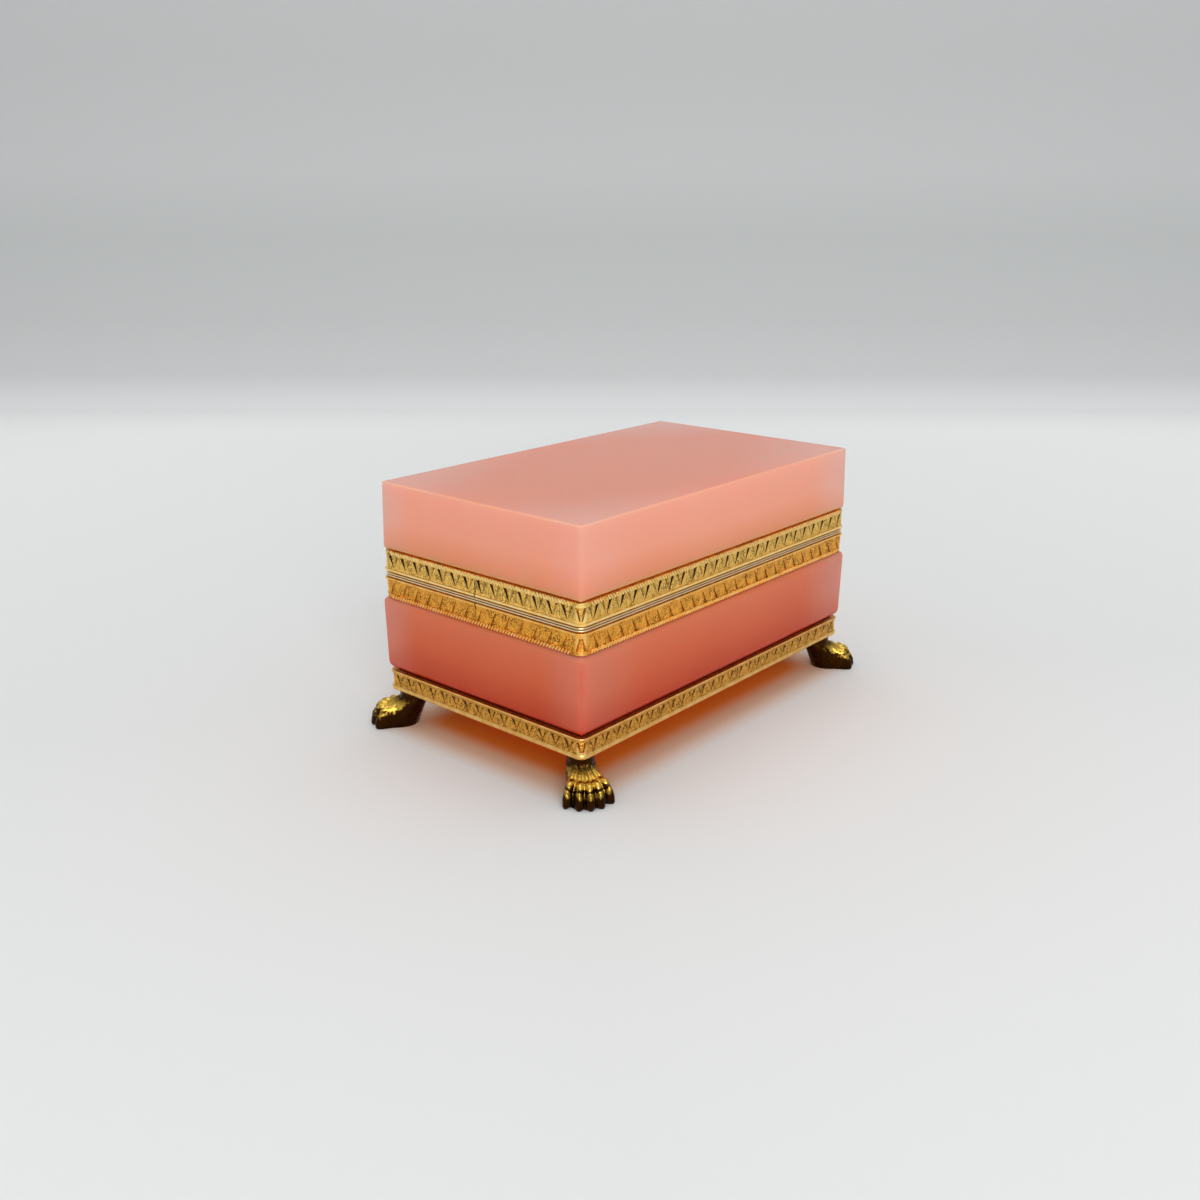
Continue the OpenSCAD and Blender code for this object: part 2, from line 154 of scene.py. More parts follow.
painted_far_light = add_node(tree, "ShaderNodeMix", {SHARE: away, FIRST: paper_and_painted_shade, SECOND: linear("#F6F7F6")}, data_type="RGBA")
# Painted warm shadow and glow: orange-brown next to the box, fading to white about 9 mm beyond it.
painted_shadow_reach = add_node(tree, "ShaderNodeMapRange", {VALUE: distance, FROM_LOW: -0.012, FROM_HIGH: 0.009})
painted_shadow_and_glow = add_node(tree, "ShaderNodeValToRGB", {0: painted_shadow_reach})
painted_shadow_and_glow.color_ramp.interpolation = "EASE"
painted_shadow_and_glow.color_ramp.elements[0].color = linear("#F08A30")
painted_shadow_and_glow.color_ramp.elements[1].color = linear("#FFFFFF")
painted_shadow_and_glow.color_ramp.elements.new(0.45).color = linear("#F8D0B4")
mixed = add_node(tree, "ShaderNodeMix", {SHARE: 1.0, FIRST: painted_far_light, SECOND: painted_shadow_and_glow},
                 data_type="RGBA", blend_type="MULTIPLY")
sheet = add_node(tree, "ShaderNodeBsdfPrincipled", {"Base Color": mixed, "Roughness": 0.9, "Specular IOR Level": 0.1})
add_node(tree, "ShaderNodeOutputMaterial", {0: sheet})
sweep.data.materials.append(paper)


# ---------------------------------------------------------------------------------------------
# Light and camera: soft studio light, from a white room, one wide softbox overhead and a fainter
# one at the front. The camera looks down on the box's front left corner.

world = bpy.data.worlds.new("white_room")
world.use_nodes = True
world.node_tree.nodes.clear()
room = add_node(world.node_tree, "ShaderNodeBackground", {0: linear("#F4F6F8"), 1: 0.58})
add_node(world.node_tree, "ShaderNodeOutputWorld", {0: room})
bpy.context.scene.world = world


def area_lamp(name, place, size, watts):
    """A rectangular lamp at its place, facing straight down."""
    lamp = bpy.data.lights.new(name, "AREA")
    lamp.shape = "RECTANGLE"
    lamp.size, lamp.size_y = size
    lamp.energy = watts
    holder = bpy.data.objects.new(name, lamp)
    holder.location = place
    bpy.context.collection.objects.link(holder)
    return holder


for name, place, size, watts in (("overhead_softbox", (0.22, 0.18, 1.5), (1.5, 1.5), 9),
                                 ("front_softbox", (-1.0, -1.12, 0.8), (0.9, 0.7), 11.5)):
    softbox = area_lamp(name, place, size, watts)
    softbox.rotation_euler = (Vector((0, 0, 0.04)) - Vector(place)).to_track_quat("-Z", "Y").to_euler()

# The glass passes light down through the open base frame; a faint warm lamp in the opening stands for it.
glow = area_lamp("glow_under_glass", (0, 0, 0.0135), (0.12, 0.06), 0.006)
glow.data.color = (1.0, 0.3, 0.08)

# The camera of the photograph, found by fitting the box's edges: about 0.45 m away, 18.5 degrees down.
camera_data = bpy.data.cameras.new("camera")
camera_data.lens = 36.222
camera_data.sensor_width = 36
camera = bpy.data.objects.new("camera", camera_data)
camera.location = (-0.32406, -0.26667, 0.17683)
camera.rotation_euler = (math.radians(90 - 18.5155), 0, math.radians(-49.196))
bpy.context.collection.objects.link(camera)
bpy.context.scene.camera = camera
bpy.context.scene.view_settings.view_transform = "Standard"


# ---------------------------------------------------------------------------------------------
# Body glass: a thick block of rose opaline glass, blown into a mould, ground hollow and polished.
# Opaline is clouded all through, so light wanders inside it and the block glows at its edges.

BOX = (0.150, 0.0887)                      # the reference outline, as in the CAD
BODY_LOW, BODY_HIGH = 0.0209, 0.0470       # the part of the body that shows between the bands
BODY_FLOOR = 0.0225                        # the floor of the body's cavity
NECK_IN, WALL_T = 0.002, 0.009             # how far the hidden neck and the cavity lie inside the outline
CAVITY_R, CAVITY_EDGE_R = 0.006, 0.0035    # the cavity's upright corners, and its edge at the closed end


def rounded_block(name, out, low, high, corner):
    """A block round the reference outline, from low to high, with round upright corners. Its faces
    are halved both ways, so that a later cut never leaves a face with a hole in it."""
    block = start(name, bpy.ops.mesh.primitive_cube_add, size=1, location=(0, 0, (low + high) / 2),
                  scale=(BOX[0] + 2 * out, BOX[1] + 2 * out, high - low))
    pick(block, "EDGE", lambda a, b: abs(a.z - b.z) > 0.5 * (high - low))
    bpy.ops.mesh.bevel(offset=corner, segments=8, affect="EDGES")
    for across in ((1, 0, 0), (0, 1, 0)):
        bpy.ops.mesh.select_all(action="SELECT")
        bpy.ops.mesh.bisect(plane_co=(0, 0, 0), plane_no=across)
    bpy.ops.object.mode_set(mode="OBJECT")
    return block


def round_rim(block, level, radius, segments):
    """Rounds the edge round the face at this level."""
    pick(block, "FACE", lambda c, n: abs(c.z - level) < 1e-5 and abs(n.z) > 0.9)
    bpy.ops.mesh.region_to_loop()
    bpy.ops.mesh.bevel(offset=radius, segments=segments, affect="EDGES")
    bpy.ops.object.mode_set(mode="OBJECT")


def stretch(level, out):
    """Moves what is picked at this level outwards, from the reference outline."""
    bpy.ops.transform.resize(value=(1 + 2 * out / BOX[0], 1 + 2 * out / BOX[1], 1), center_override=(0, 0, level))


def flare(block, level, out):
    """Moves the edge at this level outwards."""
    pick(block, "VERT", lambda v: abs(v.z - level) < 1e-5)
    stretch(level, out)
    bpy.ops.object.mode_set(mode="OBJECT")


def only(piece):
    """Selects this piece alone and makes it the active one."""
    bpy.ops.object.select_all(action="DESELECT")
    piece.select_set(True)
    bpy.context.view_layer.objects.active = piece


def carve(piece, tool, operation="DIFFERENCE"):
    """Cuts the tool away from the piece, or joins it on, and removes the tool."""
    only(piece)
    cut = piece.modifiers.new("cut", "BOOLEAN")
    cut.object, cut.operation, cut.solver = tool, operation, "MANIFOLD"
    bpy.ops.object.modifier_apply(modifier="cut")
    bpy.data.objects.remove(tool)


def hollow(glass, low, high, closed_end):
    """Grinds the glass hollow from low to high, with a rounded edge at the closed end."""
    cavity = rounded_block("cavity", -WALL_T, low, high, CAVITY_R)
    round_rim(cavity, closed_end, CAVITY_EDGE_R, 6)
    carve(glass, cavity)


def clean_mesh():
    """Merges the active piece's doubled vertices and points its faces outwards; stays in edit mode."""
    bpy.ops.object.mode_set(mode="EDIT")
    bpy.ops.mesh.select_all(action="SELECT")
    bpy.ops.mesh.remove_doubles(threshold=0.000002)
    bpy.ops.mesh.normals_make_consistent(inside=False)


def smooth(piece, angle, even=False):
    """Cleans the mesh and smooths it across all edges that turn by less than angle, in degrees.
    even keeps the large flats flat where rounded edges run into them."""
    only(piece)
    clean_mesh()
    bpy.ops.object.mode_set(mode="OBJECT")
    bpy.ops.object.shade_smooth_by_angle(angle=math.radians(angle))
    if even:
        flats = piece.modifiers.new("flats", "WEIGHTED_NORMAL")
        flats.keep_sharp = True
        bpy.ops.object.modifier_apply(modifier="flats")


def finish_with(piece, material):
    """Gives the whole piece one material."""
    piece.data.materials.clear()
    piece.data.materials.append(material)


body_glass = rounded_block("opaline_body", out=0.001, low=BODY_LOW, high=BODY_HIGH, corner=0.0020)
flare(body_glass, BODY_HIGH, out=0.0004)
round_rim(body_glass, BODY_LOW, radius=0.0030, segments=8)
round_rim(body_glass, BODY_HIGH, radius=0.0020, segments=6)
carve(body_glass, rounded_block("neck", out=-NECK_IN, low=0.03, high=0.0543, corner=0.0008), "UNION")
carve(body_glass, rounded_block("base_neck", out=-0.0032, low=0.0145, high=0.03, corner=0.0004), "UNION")
hollow(body_glass, low=BODY_FLOOR, high=0.06, closed_end=BODY_FLOOR)
smooth(body_glass, angle=30, even=True)


def opaline(name, high, middle, low, levels, flat, pale, edge, under, gloss):
    """Clouded glass. Its colour runs with height; painted light pales it towards the upright corners,
    where light comes through from two sides, less near the front left corner. flat is the colour of
    the polished top and edge that of the upright corners, both painted shade, and under that of the
    rounded lower edge, a painted glow."""
    glass, tree = new_material(name)
    place = add_node(tree, "ShaderNodeTexCoord")
    spot = add_node(tree, "ShaderNodeSeparateXYZ", {0: place.outputs["Object"]})

    # The run of colour with height, shifted a little by clouds of milk about 36 mm across.
    share = add_node(tree, "ShaderNodeMapRange", {VALUE: spot.outputs["Z"], FROM_LOW: levels[0], FROM_HIGH: levels[1]})
    clouds = add_node(tree, "ShaderNodeTexNoise", {"Vector": place.outputs["Object"], "Scale": 28.0, "Detail": 3.0})
    drift = add_node(tree, "ShaderNodeMath", {0: clouds, 1: 0.18, 2: -0.09}, operation="MULTIPLY_ADD")
    on_run = add_node(tree, "ShaderNodeMath", {0: share, 1: drift}, operation="ADD")
    run = add_node(tree, "ShaderNodeValToRGB", {0: on_run})
    run.color_ramp.elements[0].color = linear(low)
    run.color_ramp.elements[1].color = linear(high)
    run.color_ramp.elements.new(0.45).color = linear(middle)

    # The painted light that pales the sides towards the corners: 2 is a corner, less lies nearer the middle of a side.
    across = []
    for axis, size in (("X", BOX[0]), ("Y", BOX[1])):
        width = add_node(tree, "ShaderNodeMath", {0: spot.outputs[axis]}, operation="ABSOLUTE")
        across.append(add_node(tree, "ShaderNodeMath", {0: width, 1: 2 / size}, operation="MULTIPLY"))
    towards = add_node(tree, "ShaderNodeMath", {0: across[0], 1: across[1]}, operation="ADD")
    corner = add_node(tree, "ShaderNodeMapRange", {VALUE: towards, FROM_LOW: 1.6, FROM_HIGH: 2.02, TO_HIGH: 0.75},
                      interpolation_type="SMOOTHSTEP")
    lower = add_node(tree, "ShaderNodeMapRange", {
        VALUE: share, FROM_LOW: 0.0, FROM_HIGH: 0.5, TO_LOW: 0.35, TO_HIGH: 1.0})
    # The painted paling is weaker near the front left corner and full from there to the back right.
    diagonal_place = add_node(tree, "ShaderNodeMath", {0: spot.outputs["X"], 1: spot.outputs["Y"]}, operation="ADD")
    paling_gain = add_node(tree, "ShaderNodeMapRange", {
        VALUE: diagonal_place, FROM_LOW: -0.11, FROM_HIGH: -0.02, TO_LOW: 0.55, TO_HIGH: 1.25}, clamp=True)
    evenly = add_node(tree, "ShaderNodeMath", {0: corner, 1: paling_gain}, operation="MULTIPLY")
    painted_paling = add_node(tree, "ShaderNodeMath", {0: evenly, 1: lower}, operation="MULTIPLY")
    sides = add_node(tree, "ShaderNodeMix", {SHARE: painted_paling, FIRST: run, SECOND: linear(pale)}, data_type="RGBA")

    # The flat top: its own darker tone, a painted shade, and painted paler towards its own corners as painted light.
    rim = add_node(tree, "ShaderNodeMapRange", {VALUE: towards, FROM_LOW: 0.9, FROM_HIGH: 2.0, TO_HIGH: 0.7},
                   interpolation_type="SMOOTHSTEP")
    top = add_node(tree, "ShaderNodeMix", {SHARE: rim, FIRST: linear(flat), SECOND: linear(pale)}, data_type="RGBA")
    facing = add_node(tree, "ShaderNodeSeparateXYZ", {0: place.outputs["Normal"]})
    up = add_node(tree, "ShaderNodeMapRange", {VALUE: facing.outputs["Z"], FROM_LOW: 0.6, FROM_HIGH: 0.95})
    colour = add_node(tree, "ShaderNodeMix", {SHARE: up, FIRST: sides, SECOND: top}, data_type="RGBA")

    # Painted shade darkens the round upright corners, which face both ways at once; the lower edge faces down.
    diagonal = add_node(tree, "ShaderNodeMath", {0: facing.outputs["X"], 1: facing.outputs["Y"]}, operation="MULTIPLY")
    either = add_node(tree, "ShaderNodeMath", {0: diagonal}, operation="ABSOLUTE")
    painted_arris_shade = add_node(tree, "ShaderNodeMapRange", {VALUE: either, FROM_LOW: 0.1, FROM_HIGH: 0.4, TO_HIGH: 0.4})
    colour = add_node(tree, "ShaderNodeMix", {SHARE: painted_arris_shade, FIRST: colour, SECOND: linear(edge)}, data_type="RGBA")
    # Painted glow: the rounded lower edge, turned down into shade, takes the under colour.
    down = add_node(tree, "ShaderNodeMapRange", {VALUE: facing.outputs["Z"], FROM_LOW: -0.1, FROM_HIGH: -0.6})
    foot = add_node(tree, "ShaderNodeMapRange", {
        VALUE: spot.outputs["Z"], FROM_LOW: levels[0] + 0.003, FROM_HIGH: levels[0] + 0.005, TO_LOW: 1.0, TO_HIGH: 0.0})
    painted_glow_share = add_node(tree, "ShaderNodeMath", {0: down, 1: foot}, operation="MULTIPLY")
    colour = add_node(tree, "ShaderNodeMix", {SHARE: painted_glow_share, FIRST: colour, SECOND: linear(under)}, data_type="RGBA")

    # Polished, with a film of dust and finger marks about 1 mm across.
    dust = add_node(tree, "ShaderNodeTexNoise", {"Vector": place.outputs["Object"], "Scale": 900.0, "Detail": 2.0})
    polish = add_node(tree, "ShaderNodeMapRange", {
        VALUE: dust, FROM_LOW: 0.3, FROM_HIGH: 0.8, TO_LOW: 0.1, TO_HIGH: 0.22})
    surface = add_node(tree, "ShaderNodeBsdfPrincipled", {
        "Base Color": colour, "Roughness": polish, "IOR": 1.5, "Specular IOR Level": gloss,
        "Subsurface Weight": 1.0, "Subsurface Radius": (1.0, 0.3, 0.2), "Subsurface Scale": 0.012})
    surface.subsurface_method = "RANDOM_WALK"
    add_node(tree, "ShaderNodeOutputMaterial", {0: surface})
    return glass


# Rose opaline: rose at the shoulder, deepening to orange-red at the foot, with a soft sheen; the paler corners, darker
# top and arrises and red underside of the foot are painted light, shade and glow.
rose_opaline = opaline("rose_opaline", high="#DC7450", middle="#CE5C34", low="#B6340E", levels=(0.0205, BODY_HIGH),
                       flat="#D86A48", pale="#CE8674", edge="#BC6450", under="#C02808", gloss=0.2)
finish_with(body_glass, rose_opaline)
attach(body_glass, "body")
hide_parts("body_glass")


# ---------------------------------------------------------------------------------------------
# Lid glass: a second block, cut to the same outline, paler than the body. Its top is ground flat
# with a narrow polished bevel, and its lower edge is rounded where it sits in the band.

LID_LOW, LID_TOP = 0.0640, 0.0872          # the part of the lid that shows above its band
LID_CEILING = 0.0792                       # the ceiling of the lid's cavity
lid_glass = rounded_block("opaline_lid", out=0.0, low=LID_LOW, high=LID_TOP, corner=0.0010)
flare(lid_glass, LID_LOW, out=0.00045)
round_rim(lid_glass, LID_TOP, radius=0.0007, segments=3)
round_rim(lid_glass, LID_LOW, radius=0.0014, segments=6)
carve(lid_glass, rounded_block("neck", out=-NECK_IN, low=0.0567, high=0.07, corner=0.0008), "UNION")
hollow(lid_glass, low=0.05, high=LID_CEILING, closed_end=LID_CEILING)
smooth(lid_glass, angle=35, even=True)

# Pale opaline: milky pink, orange towards its lower edge, with a brighter polish; the paler corners, darker top and
# arrises and orange underside of the lower edge are painted light, shade and glow.
pale_opaline = opaline("pale_opaline", high="#EDA68E", middle="#F6A082", low="#F48A58", levels=(LID_LOW, 0.0868),
                       flat="#E98A6A", pale="#E2AE9E", edge="#CC9080", under="#FFA060", gloss=0.5)
finish_with(lid_glass, pale_opaline)
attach(lid_glass, "lid")
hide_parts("lid_glass")


# ---------------------------------------------------------------------------------------------
# Base band: a strip of gilt brass stamped from behind and soldered round the foot of the body.
# From below it has a rolled lip, a field of Y-shaped leaf-and-dart strokes, a bead and a thin edge.

CORNER_R = 0.0025        # how the brass is bent round the outline's corners
BAND_BACK = 0.00095      # how far the back of a band lies inside the outline
FIELD_OUT = 0.0001       # how far a band's stamped field stands out
BASE = 0.0132            # the underside of the base band
BASE_FIELD_TOP = BASE + 0.0058
BASE_GROW = 0.0003       # how much further out than the CAD's the base band stands


def band_tube(name, levels, fields, grow):
    """A closed strip round the box. levels is a list of (height, how far it stands out), from low to
    high. fields gives the number and width of the panels along X and along Y, two to each leaf, so
    that the stamps cut cleanly. grow is added to how far everything stands out."""
    levels = [(z, out + grow) for z, out in levels]
    low, high = levels[0][0], levels[-1][0]
    tube = rounded_block(name, 0.0, low, high, CORNER_R)
    pick(tube, "FACE", lambda c, n: abs(n.z) > 0.9)
    bpy.ops.mesh.delete(type="FACE")
    for z, out in levels[1:-1]:
        bpy.ops.mesh.select_all(action="SELECT")
        bpy.ops.mesh.bisect(plane_co=(0, 0, z), plane_no=(0, 0, 1))
    for z, out in levels:
        pick(tube, "VERT", lambda v: abs(v.z - z) < 1e-6)
        stretch(z, out)
    pick(tube, "EDGE", lambda a, b: abs(a.z - low) < 1e-6 and abs(b.z - low) < 1e-6)
    bpy.ops.mesh.extrude_edges_move()
    inwards = [(size - 2 * BAND_BACK) / (size + 2 * levels[0][1]) for size in BOX]
    bpy.ops.transform.resize(value=(*inwards, 1), center_override=(0, 0, low))
    bpy.ops.mesh.extrude_edges_move(TRANSFORM_OT_translate={"value": (0, 0, high - low)})
    pick(tube, "EDGE", lambda a, b: abs(a.z - high) < 1e-6 and abs(b.z - high) < 1e-6)
    bpy.ops.mesh.bridge_edge_loops()
    for (count, pitch), axis in zip(fields, ((1, 0, 0), (0, 1, 0))):
        for i in range(count + 1):
            bpy.ops.mesh.select_all(action="SELECT")
            bpy.ops.mesh.bisect(plane_co=[c * pitch * (i - count / 2) for c in axis], plane_no=axis)
    clean_mesh()
    bpy.ops.object.mode_set(mode="OBJECT")
    return tube


def join(pieces, name):
    """Joins the pieces into the first one."""
    bpy.ops.object.select_all(action="DESELECT")
    for piece in pieces:
        piece.select_set(True)
    bpy.context.view_layer.objects.active = pieces[0]
    if len(pieces) > 1:
        bpy.ops.object.join()
    pieces[0].name = pieces[0].data.name = name
    return pieces[0]


def along(piece, count, step):
    """Repeats the piece along X by an applied array, and centres the row on x = 0."""
    only(piece)
    row = piece.modifiers.new("row", "ARRAY")
    row.count, row.use_relative_offset, row.use_constant_offset = count, False, True
    row.constant_offset_displace = (step, 0, 0)
    bpy.ops.object.modifier_apply(modifier="row")
    piece.location.x = -step * (count - 1) / 2
    settle()
    return piece


def copy_of(piece, name):
    """A copy with its own mesh."""
    twin = piece.copy()
    twin.data = piece.data.copy()
    twin.name = twin.data.name = name
    bpy.context.collection.objects.link(twin)
    return twin


def set_round(row, other, out):
    """Places a row made along the front face, and one for the end face, on all four sides."""
    placed = []
    for side, piece, reach in ((0, row, BOX[1] / 2), (90, other, BOX[0] / 2),
                               (180, row, BOX[1] / 2), (270, other, BOX[0] / 2)):
        twin = copy_of(piece, "side")
        only(twin)
        twin.location.y = -(reach + out)
        settle()
        twin.rotation_euler.z = math.radians(side)
        settle()
        placed.append(twin)
    bpy.data.objects.remove(row)
    bpy.data.objects.remove(other)
    return placed


def leaf_stamp(name, half, length, depth, tip, top):
    """The stamp for one leaf: deepest along both slanting sides, with a broad keel down the middle.
    Its wide end is at height top, half wide to each side, and its other end tip wide."""
    front, shoulder = 0.0008, 0.00025             # how far it stands before the band, and its edge's width
    keel, keel_deep = half * 0.45, 0.0001         # the keel's half width, and how deep it is stamped
    stamp = start(name, bpy.ops.mesh.primitive_cube_add, size=1, location=(0, (depth - front) / 2, top - length / 2),
                  scale=(2 * half, depth + front, abs(length)))
    bpy.ops.object.mode_set(mode="EDIT")
    for x in (half - shoulder, keel):
        for side in (x, -x):
            bpy.ops.mesh.select_all(action="SELECT")
            bpy.ops.mesh.bisect(plane_co=(side, 0, 0), plane_no=(1, 0, 0))
    pick(stamp, "VERT", lambda v: abs(v.x) < half * 0.5 and v.y > 0)
    bpy.ops.transform.translate(value=(0, keel_deep - depth, 0))
    pick(stamp, "VERT", lambda v: abs(v.z - (top - length)) < 1e-6)
    bpy.ops.transform.resize(value=(tip / half, 1, 1), center_override=(0, 0, top - length))
    bpy.ops.object.mode_set(mode="OBJECT")
    return stamp


def groove_stamp(name, half, depth, low, high):
    """The stamp for one upright stroke: a narrow groove with a sharp bottom, pointed at both ends."""
    front = 0.0004                                # how far its middle stands before the band
    stamp = start(name, bpy.ops.mesh.primitive_cylinder_add, vertices=4, radius=1, depth=1,
                  location=(0, -front, (low + high) / 2), scale=(half * 1.9, depth + front, high - low))
    pick(stamp, "FACE", lambda c, n: abs(n.z) > 0.9)
    bpy.ops.mesh.inset(thickness=0.00002)
    bpy.ops.object.mode_set(mode="OBJECT")
    return stamp


def leaf_rows(count, step, stamps, between):
    """One side's row: the stamps of one leaf repeated, with the strokes of between set halfway from leaf to leaf."""
    return join([along(join(stamps, "leaf"), count, step), along(join(between, "between"), count - 1, step)], "row")


def base_row(count, step):
    """One side of the base band: a small leaf over a stem, and a thin stroke between leaves."""
    leaf = leaf_stamp("leaf", half=0.0021, length=0.0029, depth=0.0008, tip=0.0003, top=BASE_FIELD_TOP)
    stem = groove_stamp("stem", half=0.00028, depth=0.0005, low=BASE + 0.0018, high=BASE_FIELD_TOP - 0.0030)
    stroke = groove_stamp("stroke", half=0.00014, depth=0.00025, low=BASE + 0.0026, high=BASE_FIELD_TOP - 0.0014)
    return leaf_rows(count, step, [leaf, stem], [stroke])


def corner_stamps(stamp, out):
    """The stamp set into all four corners, facing out along the diagonals."""
    placed = []
    for sx, sy in ((-1, -1), (1, -1), (1, 1), (-1, 1)):
        twin = copy_of(stamp, "corner")
        only(twin)
        reach = (CORNER_R + out) * math.sqrt(0.5)
        twin.location = (sx * (BOX[0] / 2 - CORNER_R + reach), sy * (BOX[1] / 2 - CORNER_R + reach), 0)
        twin.rotation_euler.z = math.atan2(sy, sx) + math.pi / 2
        settle()
        placed.append(twin)
    bpy.data.objects.remove(stamp)
    return placed


base_levels = [(BASE + rise, out) for rise, out in (
    (0, -0.00015), (0.0002, 0.00025), (0.0006, 0.00045), (0.0013, 0.00045), (0.0017, 0.0003),
    (0.00185, FIELD_OUT), (0.00595, FIELD_OUT), (0.00605, 0.00035), (0.0064, 0.00035), (0.0065, 0.00015),
    (0.0066, 0.00015), (0.00675, 0.00045), (0.0071, 0.00045), (0.0072, 0.00035))]
base_band = band_tube("stamped_base_band", base_levels, ((52, 0.0028), (30, 0.002815)), grow=BASE_GROW)
corner_leaf = leaf_stamp("corner", half=0.0017, length=0.0033, depth=0.0009, tip=0.0007, top=BASE_FIELD_TOP)
corners = corner_stamps(corner_leaf, FIELD_OUT + BASE_GROW)
rows = set_round(base_row(count=26, step=0.0056), base_row(count=15, step=0.00563), FIELD_OUT + BASE_GROW)
carve(base_band, join(rows + corners, "base_stamps"))
smooth(base_band, angle=9)


def gilt_brass(name, dark, field, bright, dark_begins, dark_complete, grain, grow, soil):
    """Fire-gilt brass, old: bright where hands rub it, dark on the steep walls of the stamping, with dirt
    and painted shade there, and with a fine punched grain. clean and full are how far outside the
    outline that dark of the hollows begins and is complete, grow moves that outline outwards, grain is
    the punched grain's size against the base band's, and soil is how much dirt lies in it."""
    metal, tree = new_material(name)
    place = add_node(tree, "ShaderNodeTexCoord")

    # How far the spot lies outside the outline with its round corners.
    width = add_node(tree, "ShaderNodeVectorMath", {0: place.outputs["Object"]}, operation="ABSOLUTE")
    past = add_node(tree, "ShaderNodeVectorMath", {0: width, 1: (BOX[0] / 2 - CORNER_R, BOX[1] / 2 - CORNER_R, 1)},
                    operation="SUBTRACT")
    round_corner = add_node(tree, "ShaderNodeVectorMath", {0: past, 1: (0, 0, 0)}, operation="MAXIMUM")
    reach = add_node(tree, "ShaderNodeVectorMath", {0: round_corner}, operation="LENGTH")
    out = add_node(tree, "ShaderNodeMath", {0: reach, 1: CORNER_R + grow}, operation="SUBTRACT")

    # The punched grain, about 0.6 mm apart and so coarser than the real one, so that it shows; dirt
    # lies in it in patches about 3 mm across.
    grains = add_node(tree, "ShaderNodeTexVoronoi", {"Vector": place.outputs["Object"], "Scale": 1700.0 / grain},
                      feature="F1")
    pits = add_node(tree, "ShaderNodeMapRange", {
        VALUE: grains, FROM_LOW: 0.62, FROM_HIGH: 0.3, TO_LOW: 0.0, TO_HIGH: 1.0})
    patches = add_node(tree, "ShaderNodeTexNoise", {"Vector": place.outputs["Object"], "Scale": 330.0, "Detail": 3.0})
    dirt = add_node(tree, "ShaderNodeMapRange", {VALUE: patches, FROM_LOW: 0.36, FROM_HIGH: 0.64, TO_HIGH: soil})
    in_field = add_node(tree, "ShaderNodeMapRange", {VALUE: out, FROM_LOW: 0.0002, FROM_HIGH: 0.00012})
    pitted = add_node(tree, "ShaderNodeMath", {0: pits, 1: in_field}, operation="MULTIPLY")
    soiled = add_node(tree, "ShaderNodeMath", {0: pitted, 1: dirt}, operation="MULTIPLY")
    worn = add_node(tree, "ShaderNodeMath", {0: in_field, 1: dirt}, operation="MAXIMUM")
    rubbed = add_node(tree, "ShaderNodeMix", {SHARE: worn, FIRST: linear(bright), SECOND: linear(field)},
                      data_type="RGBA")
    spotted = add_node(tree, "ShaderNodeMix", {SHARE: soiled, FIRST: rubbed, SECOND: linear(dark)}, data_type="RGBA")

    # The hollows are dark on their steep walls only, not on level faces and flat tops: dirt there, and painted shade.
    slope = add_node(tree, "ShaderNodeVectorMath", {0: place.outputs["Normal"]}, operation="ABSOLUTE")
    facing = add_node(tree, "ShaderNodeSeparateXYZ", {0: slope})
    flat_top = add_node(tree, "ShaderNodeMapRange", {
        VALUE: facing.outputs["Z"], FROM_LOW: 0.5, FROM_HIGH: 0.68, TO_LOW: 1.0, TO_HIGH: 0.0})
    sunk = add_node(tree, "ShaderNodeMapRange", {VALUE: out, FROM_LOW: dark_begins, FROM_HIGH: dark_complete})
    outward = add_node(tree, "ShaderNodeVectorMath", {0: round_corner}, operation="NORMALIZE")
    level = add_node(tree, "ShaderNodeVectorMath", {0: outward, 1: slope}, operation="DOT_PRODUCT")
    steep = add_node(tree, "ShaderNodeMapRange", {VALUE: level, FROM_LOW: 0.6, FROM_HIGH: 0.4})
    walls = add_node(tree, "ShaderNodeMath", {0: steep, 1: flat_top}, operation="MULTIPLY")
    deep = add_node(tree, "ShaderNodeMath", {0: sunk, 1: walls}, operation="MULTIPLY")
    gold_share = add_node(tree, "ShaderNodeMath", {0: 1.0, 1: deep}, operation="SUBTRACT")
    colour = add_node(tree, "ShaderNodeMix", {SHARE: deep, FIRST: spotted, SECOND: linear(dark)}, data_type="RGBA")
    dull = add_node(tree, "ShaderNodeMapRange", {VALUE: soiled, TO_LOW: 0.34, TO_HIGH: 0.6})
    relief = add_node(tree, "ShaderNodeBump", {"Height": pitted, "Strength": 0.7, "Distance": 0.00025}, invert=True)
    surface = add_node(tree, "ShaderNodeBsdfPrincipled", {
        "Base Color": colour, "Metallic": gold_share, "Roughness": dull, "Normal": relief})
    add_node(tree, "ShaderNodeOutputMaterial", {0: surface})
    return metal


# Worn gilt: golden, with dark strokes, dirt and painted shade on the steep walls of the leaves, and specks of brown in
# the punched ground.
base_gilt = gilt_brass("worn_gilt_brass", dark="#2A0C05", field="#EAAC48", bright="#F6CC80",
                       dark_begins=0.00006, dark_complete=-0.00002, grain=1.0, grow=BASE_GROW, soil=0.8)
finish_with(base_band, base_gilt)
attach(base_band, "body")
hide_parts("base_band")


# ---------------------------------------------------------------------------------------------
# Body band: the strip round the body's mouth, upside down to the lid's. Its stamping is shallow
# and nearly rubbed away: small leaf points with upright strokes between, over a punched ground.

MOUTH_FIELDS = ((48, 0.00305), (28, 0.003025))    # panels along X and along Y, as for band_tube
MOUTH_GROW = 0.00045                              # how much further out than the CAD's they stand
MOUTH_FIELD_TOP, ROPE_RISE = 0.0057, 0.00648      # counted from the plain lip, as all their heights


